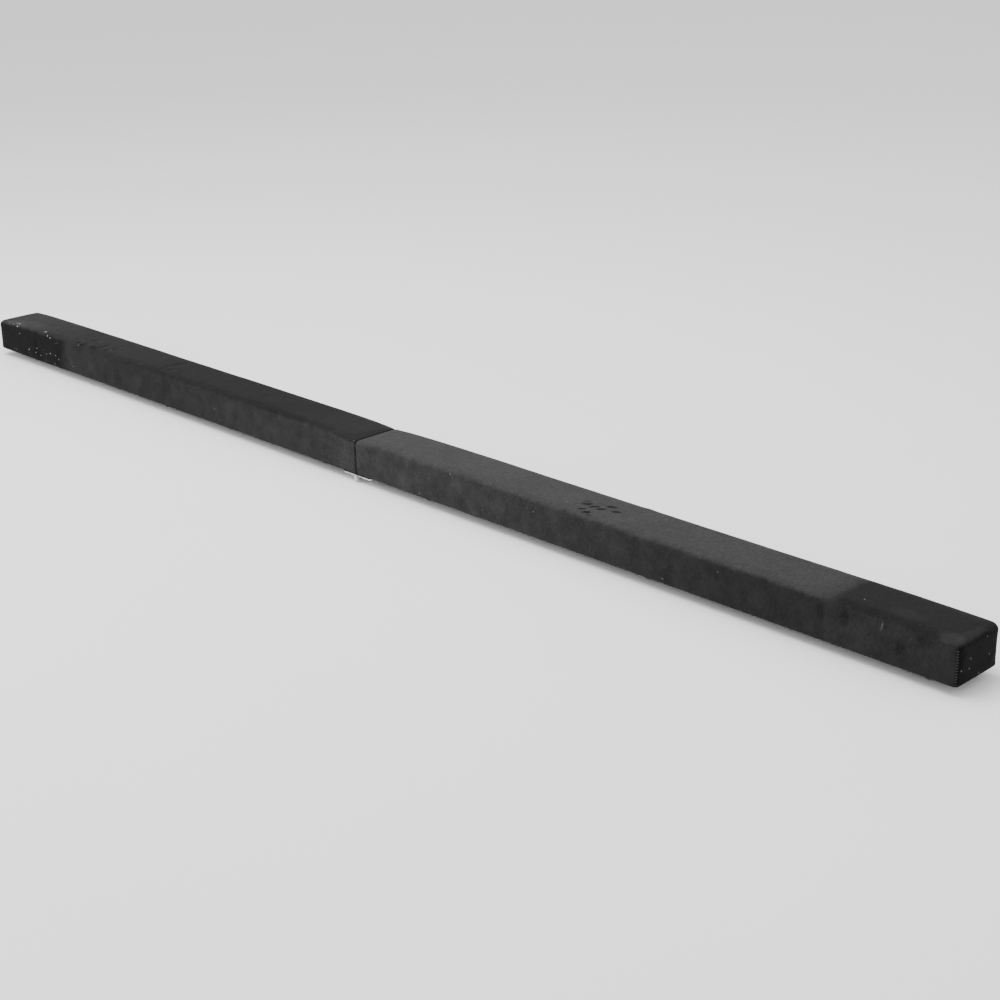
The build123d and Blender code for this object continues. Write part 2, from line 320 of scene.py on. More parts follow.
def open_underside(bm, low, high, side):
    """Leaves only the turned-under hem of the underside."""
    hinge_low = HINGE_HEM_WIDTH if side == "right" else HEM_WIDTH
    hinge_high = HINGE_HEM_WIDTH if side == "left" else HEM_WIDTH
    inner = []
    for face in bm.faces:
        centre = face.calc_center_median()
        under = face.normal.z < -0.5 and centre.z < low.z + BOTTOM_EDGE_RADIUS
        inside_x = low.x + hinge_low < centre.x < high.x - hinge_high
        inside_y = low.y + HEM_WIDTH < centre.y < high.y - HEM_WIDTH
        if under and inside_x and inside_y:
            inner.append(face)
    bmesh.ops.delete(bm, geom=inner, context="FACES")


def ripple(bm, side):
    """The unevenness of the foam, which shows along the top edges and on the sides."""
    shift = Vector((LEFT_RIGHT_RIPPLE_SHIFT * SIDES[side], 0.0, 0.0))
    for vertex in bm.verts:
        if vertex.normal.z > -0.5:
            slow = noise.noise(vertex.co * SLOW_RIPPLES_PER_METRE + shift)
            quick = noise.noise(vertex.co * QUICK_RIPPLES_PER_METRE)
            vertex.co += vertex.normal * (SLOW_RIPPLE * slow + QUICK_RIPPLE * quick)


def suede_cover(side, material):
    """The sewn cover of one section."""
    node = side + "_suede_cover"
    low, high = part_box(node)
    low = low + Vector((0.0, PUFF_START_INSET, 0.0))
    high = high - Vector((0.0, PUFF_START_INSET, PUFF_START_INSET))
    bm = cover_grid(low, high)
    seam, lips = corner_lines(bm, low, high)
    for vertex in bm.verts:
        vertex.co = draw_in(vertex.co, low, high, cover_radius(side, vertex.co, low, high))
    bm.normal_update()
    puff(bm, node, low, high, side)
    bm.normal_update()
    ripple(bm, side)
    sink_top(bm, side, low.z + DROOP_FROM_HEIGHT * (high.z - low.z), high.z)
    press_marks(bm, side)
    bm.normal_update()
    sink_seams(seam, lips)
    open_underside(bm, low, high, side)
    piece = new_piece(bm, side + "_sewn_cover", material, side + "_section", [node])
    subdivision(piece)
    wall(piece, CLOTH_THICKNESS)
    return piece


# Where fingers have pressed the top of each section: the centre and the half-lengths of the place.
PRESSED_PLACES = {
    "left": ((-0.87, -0.025), (0.09, 0.025)),
    "right": ((0.55, -0.015), (0.05, 0.03)),
}
PRESS_DEPTH = 1.4 * MM
PRESSES_PER_METRE = 50.0


def press_marks(bm, side):
    """Small dents in the top, strewn over the place that fingers have pressed."""
    (x, y), (reach_x, reach_y) = PRESSED_PLACES[side]
    for vertex in bm.verts:
        if vertex.normal.z > 0.5:
            away = math.hypot((vertex.co.x - x) / reach_x, (vertex.co.y - y) / reach_y)
            pressed = max(0.0, noise.noise(vertex.co * PRESSES_PER_METRE))
            vertex.co.z -= PRESS_DEPTH * pressed * math.exp(-away * away)


def corner_stitches(side, cover, material):
    """The thread that shows in the four corner seams: short bars across each groove."""
    low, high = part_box(side + "_suede_cover")
    tree = BVHTree.FromObject(cover, bpy.context.evaluated_depsgraph_get())
    bm = bmesh.new()
    bottom, top = low.z + STITCH_END_MARGIN, high.z - TOP_EDGE_RADIUS - STITCH_END_MARGIN
    count = round((top - bottom) / STITCH_PITCH)
    for corner_x, out_x in ((low.x, -1), (high.x, 1)):
        for corner_y, out_y in ((low.y, -1), (high.y, 1)):
            outward = Vector((out_x, out_y, 0.0)).normalized()
            probe = Vector((corner_x, corner_y, 0.0)) + outward * SEAM_PROBE_REACH
            for index in range(count + 1):
                probe.z = bottom + (top - bottom) * index / count
                found = tree.ray_cast(probe, -outward)[0]
                if found:
                    add_stitch(bm, found, outward, index)
    return new_piece(bm, side + "_corner_stitches", material, side + "_section")


def add_stitch(bm, place, outward, index):
    """A rounded bar across a seam, tilted a little to alternate sides, as thread lies."""
    tilt = math.radians(9 if index % 2 else -7)
    across = Vector((-outward.y, outward.x, 0.0))
    turn = Matrix((across, outward, Vector((0, 0, 1)))).transposed().to_4x4()
    turn = turn @ Matrix.Rotation(tilt, 4, "Y")
    size = Matrix.Diagonal((STITCH_LENGTH, STITCH_THICKNESS, STITCH_THICKNESS, 1.0))
    centre = Matrix.Translation(place + outward * STITCH_THICKNESS * 0.45)
    bmesh.ops.create_uvsphere(bm, u_segments=8, v_segments=6, radius=0.5, matrix=centre @ turn @ size)


# ---------------------------------------------------------------- foam pads

FOAM_STEP = 9 * MM
FOAM_EDGE = 1.4 * MM
FOAM_CLEARANCE = 0.9 * MM
FOAM_UNEVENNESS = 0.25 * MM
FOAM_HOLLOWS_PER_METRE = 60.0
FOAM_NAMES = ["top_foam", "front_foam", "back_foam", "hinge_end_foam", "outer_end_foam"]
SCREW_NAMES = ["core_screws", "hinge_screws", "foot_screws", "foot_washers"]


def keep_inside_cover(side, point, low, high):
    """Draws a point of the foam in, under the cloth and the rounded edges of a cover of this box."""
    inset = CLOTH_THICKNESS + FOAM_CLEARANCE
    low = low + Vector((inset, inset, 0.0))
    high = high - Vector((inset, inset, inset))
    radius = [max(r - inset / 2, FOAM_EDGE) for r in cover_radius(side, point, low, high)]
    return draw_in(point, low, high, radius)


def foam_pad(side, name, material):
    """One glued foam pad: a slab with pressed edges that keeps inside the cover's rounded outside."""
    node = f"{side}_{name}"
    low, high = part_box(node)
    cover_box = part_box(side + "_suede_cover")
    bm = block(low, high)
    for axis in range(3):
        slice_along(bm, axis, graded(low[axis], high[axis], FOAM_EDGE, FOAM_STEP, 3 * FOAM_STEP))
    for vertex in bm.verts:
        vertex.co = draw_in(vertex.co, low, high, (FOAM_EDGE, FOAM_EDGE, FOAM_EDGE))
        vertex.co = keep_inside_cover(side, vertex.co, *cover_box)
    bm.normal_update()
    for vertex in bm.verts:
        vertex.co -= vertex.normal * abs(noise.noise(vertex.co * FOAM_HOLLOWS_PER_METRE)) * FOAM_UNEVENNESS
    if name == "top_foam":
        sink_top(bm, side, low.z, high.z)
    piece = new_piece(bm, f"{side}_{name}_pad", material, side + "_section", [node])
    return piece


# ---------------------------------------------------------------- base liner

LINER_STEP = 8 * MM
LINER_THICKNESS = 0.45 * MM
LINER_EDGE_WANDER = 0.7 * MM
LINER_SAG = 0.2 * MM
LINER_TOP_GAP = 0.1 * MM
LINER_SAGS_PER_METRE = 30.0
LINER_WANDERS_PER_METRE = 55.0


def base_liner(side, material):
    """The black cloth under a section: cut by hand, drawn tight between its staples."""
    node = side + "_base_liner"
    low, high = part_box(node)
    bm = bmesh.new()
    size = high - low
    place = Matrix.Translation((low + high) / 2) @ Matrix.Diagonal((size.x / 2, size.y / 2, 1.0, 1.0))
    columns, rows = round(size.x / LINER_STEP), round(size.y / LINER_STEP)
    bmesh.ops.create_grid(bm, x_segments=columns, y_segments=rows, size=1.0, matrix=place)
    rim = {v for edge in bm.edges if edge.is_boundary for v in edge.verts}
    for vertex in bm.verts:
        vertex.co.z = high.z - LINER_TOP_GAP - LINER_SAG * abs(noise.noise(vertex.co * LINER_SAGS_PER_METRE))
        if vertex in rim:
            inward = (noise.noise(vertex.co * LINER_WANDERS_PER_METRE) - 1.0) * LINER_EDGE_WANDER
            vertex.co.y += math.copysign(inward, vertex.co.y)
    bmesh.ops.recalc_face_normals(bm, faces=bm.faces)
    if bm.faces[0].normal.z > 0:
        bmesh.ops.reverse_faces(bm, faces=bm.faces)
    piece = new_piece(bm, side + "_underside_cloth", material, side + "_section", [node])
    wall(piece, LINER_THICKNESS)
    return piece


# ---------------------------------------------------------------- shader helpers


def add(tree, kind, inputs=None, **settings):
    """A new node, with its settings and its inputs: sockets are linked and values are set."""
    made = tree.nodes.new(kind)
    for name, value in settings.items():
        setattr(made, name, value)
    for name, value in (inputs or {}).items():
        if isinstance(value, bpy.types.NodeSocket):
            tree.links.new(value, made.inputs[name])
        else:
            made.inputs[name].default_value = value
    return made


def calc(tree, operation, a, b=0.0, clamp=False):
    """The result of a sum on one or two values."""
    return add(tree, "ShaderNodeMath", {0: a, 1: b}, operation=operation, use_clamp=clamp).outputs[0]


def vector_calc(tree, operation, a, b):
    """The result of a sum on two vectors."""
    return add(tree, "ShaderNodeVectorMath", {0: a, 1: b}, operation=operation).outputs[0]


def fade(tree, value, start, end, low=0.0, high=1.0):
    """A smooth step from low, where value is at start, to high, where it is at end."""
    inputs = {"Value": value, "From Min": start, "From Max": end, "To Min": low, "To Max": high}
    return add(tree, "ShaderNodeMapRange", inputs, interpolation_type="SMOOTHSTEP").outputs[0]


def cloud(tree, place, scale, detail=2.0, roughness=0.5, distortion=0.0):
    """Cloudy noise about 0.5."""
    inputs = {"Vector": place, "Scale": scale, "Detail": detail, "Roughness": roughness}
    return add(tree, "ShaderNodeTexNoise", {**inputs, "Distortion": distortion}).outputs[0]


def stretched(tree, place, scale, turn=(0.0, 0.0, 0.0)):
    """A place scaled by axis, then turned."""
    return add(tree, "ShaderNodeMapping", {"Vector": place, "Scale": scale, "Rotation": turn}).outputs[0]


def blend_colours(tree, factor, a, b):
    """A colour between a, where factor is 0, and b, where it is 1."""
    mix = add(tree, "ShaderNodeMix", data_type="RGBA")
    for index, value in ((0, factor), (6, a), (7, b)):
        if isinstance(value, bpy.types.NodeSocket):
            tree.links.new(value, mix.inputs[index])
        else:
            mix.inputs[index].default_value = value
    return mix.outputs[2]


def grey(level):
    """A neutral colour that reflects this share of the light."""
    return (level, level, level, 1.0)


def object_place(tree):
    """The place on the piece, in the model's frame."""
    return add(tree, "ShaderNodeTexCoord").outputs["Object"]


def part_of(tree, place, axis):
    """One part of a vector or a colour, counted from 0."""
    return add(tree, "ShaderNodeSeparateXYZ", {"Vector": place}).outputs[axis]


def new_group(name, inputs, outputs):
    """An empty node group with named inputs and outputs, and its two end nodes."""
    group = bpy.data.node_groups.new(name, "ShaderNodeTree")
    kinds = {"vector": "NodeSocketVector", "value": "NodeSocketFloat", "colour": "NodeSocketColor"}
    for label, kind, default in inputs:
        socket = group.interface.new_socket(label, in_out="INPUT", socket_type=kinds[kind])
        if default is not None:
            socket.default_value = default
    for label, kind in outputs:
        group.interface.new_socket(label, in_out="OUTPUT", socket_type=kinds[kind])
    return group, group.nodes.new("NodeGroupInput").outputs, group.nodes.new("NodeGroupOutput").inputs


def use(tree, group, inputs):
    """A group's outputs, placed in a material with its own values."""
    made = tree.nodes.new("ShaderNodeGroup")
    made.node_tree = group
    for name, value in inputs.items():
        if isinstance(value, bpy.types.NodeSocket):
            tree.links.new(value, made.inputs[name])
        else:
            made.inputs[name].default_value = value
    return made.outputs


def new_material(name):
    """A material with an empty Principled shader: the material, its tree and the shader's node."""
    material = bpy.data.materials.new(name)
    material.use_nodes = True
    tree = material.node_tree
    tree.nodes.clear()
    shader = tree.nodes.new("ShaderNodeBsdfPrincipled")
    output = tree.nodes.new("ShaderNodeOutputMaterial")
    tree.links.new(shader.outputs[0], output.inputs[0])
    return material, tree, shader


def raise_surface(tree, shader, height, distance, strength=1.0):
    """A bump on the shader's normal."""
    bump = add(tree, "ShaderNodeBump", {"Height": height, "Distance": distance, "Strength": strength})
    tree.links.new(bump.outputs[0], shader.inputs["Normal"])


def set_shader(shader, **values):
    """Sets values that are the same all over, with underscores for the spaces in their names."""
    for name, value in values.items():
        shader.inputs[name.replace("_", " ")].default_value = value


# ---------------------------------------------------------------- effects that materials share


def smudge_group():
    """A soft-edged oval patch at a place: 1 inside it, 0 outside."""
    inputs = [
        ("Place", "vector", None),
        ("Centre", "vector", None),
        ("Reach", "vector", (0.01, 0.01, 0.01)),
        ("Softness", "value", 0.5),
    ]
    tree, given, result = new_group("Smudge", inputs, [("Mask", "value")])
    offset = vector_calc(tree, "SUBTRACT", given["Place"], given["Centre"])
    share = vector_calc(tree, "DIVIDE", offset, given["Reach"])
    length = add(tree, "ShaderNodeVectorMath", {0: share}, operation="LENGTH").outputs["Value"]
    inner = calc(tree, "SUBTRACT", 1.0, given["Softness"])
    tree.links.new(fade(tree, length, 1.0, inner), result["Mask"])
    return tree


def lint_group():
    """Sparse specks of lint: 1 on a speck."""
    inputs = [("Place", "vector", None), ("Spacing", "value", 0.008), ("Share", "value", 0.1)]
    tree, given, result = new_group("Lint", inputs, [("Mask", "value")])
    scale = calc(tree, "DIVIDE", 1.0, given["Spacing"])
    shaken = add(tree, "ShaderNodeTexNoise", {"Vector": given["Place"], "Scale": 520.0}).outputs["Color"]
    wander = add(tree, "ShaderNodeVectorMath", {0: shaken, 3: 0.0045}, operation="SCALE").outputs[0]
    place = vector_calc(tree, "ADD", given["Place"], wander)
    cells = add(tree, "ShaderNodeTexVoronoi", {"Vector": place, "Scale": scale})
    speck = fade(tree, cells.outputs["Distance"], 0.13, 0.05)
    chosen = part_of(tree, cells.outputs["Color"], 0)
    kept = calc(tree, "LESS_THAN", chosen, given["Share"])
    tree.links.new(calc(tree, "MULTIPLY", speck, kept), result["Mask"])
    return tree


def strewn_marks_group():
    """Soft marks strewn at random over the cloth, each lighter (towards 1) or darker (towards -1)."""
    inputs = [("Place", "vector", None), ("Spacing", "value", 0.04), ("Reach", "value", 0.5)]
    tree, given, result = new_group("Strewn marks", inputs, [("Change", "value")])
    scale = calc(tree, "DIVIDE", 1.0, given["Spacing"])
    cells = add(tree, "ShaderNodeTexVoronoi", {"Vector": given["Place"], "Scale": scale})
    mark = fade(tree, cells.outputs["Distance"], given["Reach"], 0.0)
    chosen = part_of(tree, cells.outputs["Color"], 0)
    change = calc(tree, "MULTIPLY", calc(tree, "SUBTRACT", chosen, 0.5), 2.0)
    tree.links.new(calc(tree, "MULTIPLY", mark, change), result["Change"])
    return tree


def crease_stroke_group():
    """Short strokes side by side, strewn at random over a flat top: 1 on a stroke."""
    inputs = [
        ("Place", "vector", None),
        ("Turn", "vector", None),
        ("Spacing", "vector", (0.01, 0.02, 1.0)),
        ("Share", "value", 0.5),
    ]
    tree, given, result = new_group("Crease strokes", inputs, [("Mask", "value")])
    turn_inputs = {"Vector": given["Place"], "Rotation": given["Turn"]}
    turned = add(tree, "ShaderNodeVectorRotate", turn_inputs, rotation_type="EULER_XYZ").outputs[0]
    spread = vector_calc(tree, "DIVIDE", turned, given["Spacing"])
    cells = add(tree, "ShaderNodeTexVoronoi", {"Vector": spread, "Scale": 1.0}, voronoi_dimensions="2D")
    stroke = fade(tree, cells.outputs["Distance"], 0.42, 0.26)
    kept = calc(tree, "LESS_THAN", part_of(tree, cells.outputs["Color"], 0), given["Share"])
    tree.links.new(calc(tree, "MULTIPLY", stroke, kept), result["Mask"])
    return tree


def fibre_group():
    """The short fibres of a brushed cloth: a fine height and a matching tone."""
    inputs = [("Place", "vector", None), ("Size", "value", 0.0007)]
    tree, given, result = new_group("Short fibres", inputs, [("Height", "value"), ("Tone", "value")])
    scale = calc(tree, "DIVIDE", 1.0, given["Size"])
    fine = cloud(tree, given["Place"], scale, detail=3.0, roughness=0.65)
    combed_place = stretched(tree, given["Place"], (1.0, 0.35, 0.6))
    combed = cloud(tree, combed_place, calc(tree, "MULTIPLY", scale, 0.45), detail=2.0, distortion=0.6)
    both = calc(tree, "ADD", calc(tree, "MULTIPLY", fine, 0.6), calc(tree, "MULTIPLY", combed, 0.4))
    tree.links.new(both, result["Height"])
    tree.links.new(fade(tree, both, 0.38, 0.64), result["Tone"])
    return tree


def metal_finish_group():
    """Plated steel that has been handled: a dulled colour share, a roughness and a height."""
    inputs = [("Place", "vector", None), ("Scratches", "value", 0.3), ("Dullness", "value", 0.3)]
    outputs = [("Dull", "value"), ("Roughness", "value"), ("Height", "value")]
    tree, given, result = new_group("Plated steel", inputs, outputs)
    spangle = add(tree, "ShaderNodeTexVoronoi", {"Vector": given["Place"], "Scale": 700.0}).outputs["Color"]
    spangle = part_of(tree, spangle, 0)
    haze = cloud(tree, given["Place"], 120.0, detail=4.0, roughness=0.6)
    drawn = stretched(tree, given["Place"], (2600.0, 90.0, 2600.0))
    lines = cloud(tree, drawn, 1.0, detail=2.0)
    cut_place = stretched(tree, given["Place"], (160.0, 2200.0, 900.0), (0.0, 0.0, 0.5))
    cut = cloud(tree, cut_place, 1.0, detail=1.0)
    scratch = calc(tree, "MULTIPLY", fade(tree, cut, 0.66, 0.72), given["Scratches"])
    dull = calc(tree, "MULTIPLY", fade(tree, haze, 0.42, 0.68), given["Dullness"])
    tree.links.new(calc(tree, "ADD", dull, calc(tree, "MULTIPLY", spangle, 0.08), clamp=True), result["Dull"])
    rough = calc(tree, "ADD", 0.24, calc(tree, "MULTIPLY", haze, 0.18))
    rough = calc(tree, "ADD", rough, calc(tree, "MULTIPLY", scratch, 0.35))
    tree.links.new(calc(tree, "ADD", rough, calc(tree, "MULTIPLY", dull, 0.3)), result["Roughness"])
    height = calc(tree, "SUBTRACT", calc(tree, "MULTIPLY", lines, 0.25), scratch)
    tree.links.new(height, result["Height"])
    return tree


SMUDGE = smudge_group()
LINT = lint_group()
STREWN_MARKS = strewn_marks_group()
CREASE_STROKES = crease_stroke_group()
FIBRES = fibre_group()
METAL_FINISH = metal_finish_group()

# ---------------------------------------------------------------- suede

# How light the brushed nap is on the top and on the sides, with its sheen and each face's shade painted into
# the tone: each distance from the hinge, and its tone.
NAP_AND_SHADE_ALONG = {
    "left": {
        "top": {0.0: 0.40, 0.06: 0.32, 0.20: 0.20, 0.60: 0.20, 0.80: 0.30, 0.95: 0.34, 1.15: 0.58},
        "sides": {0.0: 0.94, 0.07: 0.58, 0.40: 0.44, 0.76: 0.34, 0.94: 0.44, 0.966: 0.05, 1.20: 0.07},
    },
    "right": {
        "top": {0.0: 0.98, 0.15: 1.0, 0.50: 0.96, 0.98: 0.88, 1.008: 0.72, 1.024: 0.24, 1.21: 0.24},
        "sides": {0.0: 0.70, 0.35: 0.66, 0.60: 0.50, 0.85: 0.40, 0.995: 0.36, 1.012: 0.46, 1.21: 0.42},
    },
}

# The lightest nap reflects this much, and the ends of the beam are painted much darker than its sides:
# painted shade on the end faces.
NAP_BRIGHTEST = 0.033
END_FACE_SHADE = 0.16

# The right section's edge at the joint has a painted highlight, where its nap catches the light, from the
# first of these distances to the second.
HINGE_EDGE_HIGHLIGHT_SPAN = (6.6 * MM, 4.2 * MM)
HINGE_EDGE_HIGHLIGHT_STRENGTH = 0.9

# How strongly the top is streaked, and how large the nap's fibres are and how much they show.
NAP_STREAKS = {"left": 0.85, "right": 0.14}
FIBRE_SIZE = 1.5 * MM
FIBRE_CONTRAST = 0.46
NAP_HEIGHT = 0.8 * MM

# The top's tone gives way to the sides' between these depths below the top, and to the painted shade of the
# end this near it.
TOP_TONE_DEPTHS = (9.15 * MM, 1.15 * MM)
END_SHADE_REACH = 7 * MM

# Soft marks that handling leaves all over: their spacing, their reach in it and how strong they are.
STREWN_SPACING = 0.045
STREWN_REACH = 0.55
STREWN_STRENGTH = {"sides": 0.55, "top": 0.12}

# Dark strokes in the pressed places: painted shade in the creases there, together with the pressed nap.
STROKE_SPACING = (0.011, 0.025, 1.0)
STROKE_TURN = {"left": 0.35, "right": 0.9}
STROKE_SHARE = {"left": 0.5, "right": 0.45}
STROKE_CHANGE = -0.85
PRESSED_SOFTNESS = 0.3
PRESSED_REACH_DOWN = 12 * MM

# Rubbed places near the outer ends, and painted highlights at the right end's near top corner and along its
# top edge: from the end, across, below the top, half-lengths, lighter or darker.
RUBBED_AND_HIGHLIT_PLACES = {
    "left": [
        (0.06, -0.045, 0.003, (0.05, 0.02, 0.01), 0.7),
        (0.11, -0.03, 0.0, (0.07, 0.03, 0.01), 0.35),
        (0.15, -0.05, 0.025, (0.01, 0.02, 0.02), -0.5),
    ],
    "right": [
        # The first two are painted highlights: the near top corner of the end, and the top edge of the end.
        (0.015, -0.04, 0.002, (0.03, 0.02, 0.011), 1.2),
        (0.005, -0.01, 0.003, (0.012, 0.055, 0.009), 0.9),
        (0.10, -0.02, 0.0, (0.035, 0.02, 0.01), 0.4),
        (0.05, -0.05, 0.015, (0.02, 0.02, 0.013), -0.35),
        (0.09, -0.05, 0.035, (0.01, 0.02, 0.017), -0.4),
        (0.12, -0.05, 0.015, (0.002, 0.02, 0.008), 2.4),
        (0.18, -0.05, 0.02, (0.011, 0.02, 0.019), -0.4),
        (0.22, -0.05, 0.025, (0.011, 0.02, 0.019), -0.4),
    ],
}
RUBBED_AND_HIGHLIT_SOFTNESS = 0.65

# Where lint has gathered: from the outer end, across, below the top, and half-lengths.
LINTY_PLACES = {
    "left": [(0.13, -0.05, 0.008, (0.15, 0.02, 0.016)), (0.16, -0.05, 0.05, (0.17, 0.03, 0.028))],
    "right": [(0.06, -0.05, 0.02, (0.06, 0.03, 0.03))],
}
CLUMPED_EDGE = {"left": (0.15, -0.047, 0.002, (0.15, 0.012, 0.012))}

# How far apart lint can lie, how much of it is there, and how light it is.
SINGLE_LINT = {"Spacing": 0.013, "Share": 0.05}
SINGLE_LINT_LIGHT = 0.22
SINGLE_LINT_STRENGTH = 0.5
LINT_SPACING = {"left": 0.011, "right": 0.008}
LINT_LIGHT = {"left": 0.50, "right": 0.08}
GATHERED_SHARE = 0.65
GATHERED_SOFTNESS = 0.5
GATHERED_STRENGTH = 0.9
CLUMPS = {"Spacing": 0.032, "Share": 0.8}


def from_outer_end(side, distance, across, below_top):
    """A place on a section, given from its outer end and its top."""
    return (SIDES[side] * (CAD_BOX[1].x - distance), across, CAD_BOX[1].z - below_top)


def tone_along(tree, distance, stops):
    """A tone that changes smoothly with the distance from the hinge."""
    length = CAD_BOX[1].x
    ramp = add(tree, "ShaderNodeValToRGB", {0: calc(tree, "DIVIDE", distance, length)})
    points = ramp.color_ramp.elements
    while len(points) < len(stops):
        points.new(0.5)
    for point, (place, tone) in zip(points, stops.items()):
        point.position = place / length
        point.color = grey(tone)
    return part_of(tree, ramp.outputs[0], 0)


def lean(tree, factor, a, b):
    """A value between a, where factor is 0, and b, where it is 1."""
    return add(tree, "ShaderNodeMix", {0: factor, 2: a, 3: b}, data_type="FLOAT").outputs[0]


def scaled(tree, value, factor):
    """A noise value about 0.5, centred on 0 and scaled."""
    return calc(tree, "MULTIPLY", calc(tree, "SUBTRACT", value, 0.5), factor)


def wandered(tree, place, scale, reach):
    """A place shifted by a slow noise, so that what is drawn there has uneven edges."""
    shift = add(tree, "ShaderNodeTexNoise", {"Vector": place, "Scale": scale, "Detail": 3.0}).outputs["Color"]
    shift = vector_calc(tree, "SUBTRACT", shift, (0.5, 0.5, 0.5))
    shift = add(tree, "ShaderNodeVectorMath", {0: shift, 3: reach}, operation="SCALE").outputs[0]
    return vector_calc(tree, "ADD", place, shift)


def hinge_distance(tree, side, place):
    """How far a place is from the hinge."""
    return calc(tree, "MULTIPLY", part_of(tree, place, 0), float(SIDES[side]))


def nap_and_shade_tone(tree, side, place):
    """How light the nap is painted on the top and the sides, with its sheen and each face's shade in the
    tone, and the painted shade of the outer end; and the mask of the top.
    """
    distance = hinge_distance(tree, side, wandered(tree, place, 34.0, 0.026))
    top_tone = tone_along(tree, distance, NAP_AND_SHADE_ALONG[side]["top"])
    side_tone = tone_along(tree, distance, NAP_AND_SHADE_ALONG[side]["sides"])
    edge_place = wandered(tree, place, 60.0, 0.010)
    edge_height = calc(tree, "ADD", part_of(tree, edge_place, 2), droop_height(tree, side, place))
    top_face = fade(tree, edge_height, *[CAD_BOX[1].z - depth for depth in TOP_TONE_DEPTHS])
    tone = lean(tree, top_face, side_tone, top_tone)
    length = CAD_BOX[1].x
    # The outer end's faces are painted darker: painted shade.
    at_end = fade(tree, hinge_distance(tree, side, place), length - END_SHADE_REACH, length)
    not_top = calc(tree, "SUBTRACT", 1.0, top_face)
    end_shade = calc(tree, "MULTIPLY", calc(tree, "MULTIPLY", at_end, not_top), 1.0 - END_FACE_SHADE)
    return calc(tree, "MULTIPLY", tone, calc(tree, "SUBTRACT", 1.0, end_shade)), top_face


def droop_height(tree, side, place):
    """How far the top hangs down near the outer end and the hinge, so that the tones' edge follows it."""
    distance = hinge_distance(tree, side, place)
    length = CAD_BOX[1].x
    outer = fade(tree, distance, length - 2 * DROOP_FADE, length, 0.0, OUTER_END_DROOP[side])
    inner = fade(tree, distance, 2 * DROOP_FADE, 0.0, 0.0, HINGE_END_DROOP)
    return calc(tree, "ADD", outer, inner)


def brushed_mottle(tree, side, place, wandering, rubbed, top_face):
    """The nap's cloudiness: blotches on the sides, and streaks across the beam on the top."""
    clouds = cloud(tree, place, 14.0, detail=5.0, roughness=0.62, distortion=0.6)
    streaks = cloud(tree, stretched(tree, place, (150.0, 16.0, 60.0), (0.0, 0.0, 0.45)), 1.0, detail=2.0)
    strewn_inputs = {"Place": wandering, "Spacing": STREWN_SPACING, "Reach": STREWN_REACH}
    strewn = use(tree, STREWN_MARKS, strewn_inputs)["Change"]
    on_sides = calc(tree, "ADD", scaled(tree, clouds, 0.7), scaled(tree, rubbed, 1.1))
    on_top = calc(tree, "ADD", scaled(tree, clouds, 0.35), scaled(tree, streaks, NAP_STREAKS[side]))
    strength = lean(tree, top_face, STREWN_STRENGTH["sides"], STREWN_STRENGTH["top"])
    return calc(tree, "ADD", lean(tree, top_face, on_sides, on_top), calc(tree, "MULTIPLY", strewn, strength))


def rubbed_and_highlit_places(tree, side, wandering, mottle):
    """Adds the places near the outer end where the nap is rubbed lighter or darker, and the painted
    highlights on the right end's top corner and top edge.
    """
    for distance, across, below_top, reach, change in RUBBED_AND_HIGHLIT_PLACES[side]:
        centre = from_outer_end(side, distance, across, below_top)
        inputs = {"Place": wandering, "Centre": centre, "Reach": reach, "Softness": RUBBED_AND_HIGHLIT_SOFTNESS}
        mask = use(tree, SMUDGE, inputs)["Mask"]
        mottle = calc(tree, "ADD", mottle, calc(tree, "MULTIPLY", mask, change))
    return mottle


def crease_strokes(tree, side, wandering, mottle):
    """Adds the dark strokes in the place that fingers have pressed: painted crease shade, together with the
    pressed nap.
    """
    (x, y), (reach_x, reach_y) = PRESSED_PLACES[side]
    centre, reach = (x, y, CAD_BOX[1].z), (reach_x, reach_y, PRESSED_REACH_DOWN)
    pressed = {"Place": wandering, "Centre": centre, "Reach": reach, "Softness": PRESSED_SOFTNESS}
    pressed = use(tree, SMUDGE, pressed)["Mask"]
    strokes = {"Place": wandering, "Turn": (0.0, 0.0, STROKE_TURN[side]), "Spacing": STROKE_SPACING}
    strokes = use(tree, CREASE_STROKES, {**strokes, "Share": STROKE_SHARE[side]})["Mask"]
    change = calc(tree, "MULTIPLY", calc(tree, "MULTIPLY", strokes, pressed), STROKE_CHANGE)
    return calc(tree, "ADD", mottle, change)


def hinge_edge_highlight(tree, place, mottle):
    """Adds a painted highlight along the edge of the joint, where the nap catches the light."""
    highlit = fade(tree, part_of(tree, place, 0), *HINGE_EDGE_HIGHLIGHT_SPAN)
    return calc(tree, "ADD", mottle, calc(tree, "MULTIPLY", highlit, HINGE_EDGE_HIGHLIGHT_STRENGTH))


def linty(tree, side, place, colour):
    """A colour with single specks of lint all over, and more where lint has gathered."""
    single = use(tree, LINT, {"Place": place, **SINGLE_LINT})["Mask"]
    lint = calc(tree, "MULTIPLY", single, SINGLE_LINT_STRENGTH)
    colour = blend_colours(tree, lint, colour, grey(SINGLE_LINT_LIGHT))
    specks = use(tree, LINT, {"Place": place, "Spacing": LINT_SPACING[side], "Share": GATHERED_SHARE})["Mask"]
    light = grey(LINT_LIGHT[side])
    gatherings = [(spot, specks) for spot in LINTY_PLACES[side]]
    if side in CLUMPED_EDGE:
        clumps = use(tree, LINT, {"Place": place, **CLUMPS})["Mask"]
        gatherings.append((CLUMPED_EDGE[side], clumps))
    for (distance, across, below_top, reach), mask in gatherings:
        centre = from_outer_end(side, distance, across, below_top)
        inputs = {"Place": place, "Centre": centre, "Reach": reach, "Softness": GATHERED_SOFTNESS}
        gathered = calc(tree, "MULTIPLY", use(tree, SMUDGE, inputs)["Mask"], mask)
        colour = blend_colours(tree, calc(tree, "MULTIPLY", gathered, GATHERED_STRENGTH), colour, light)
    return colour


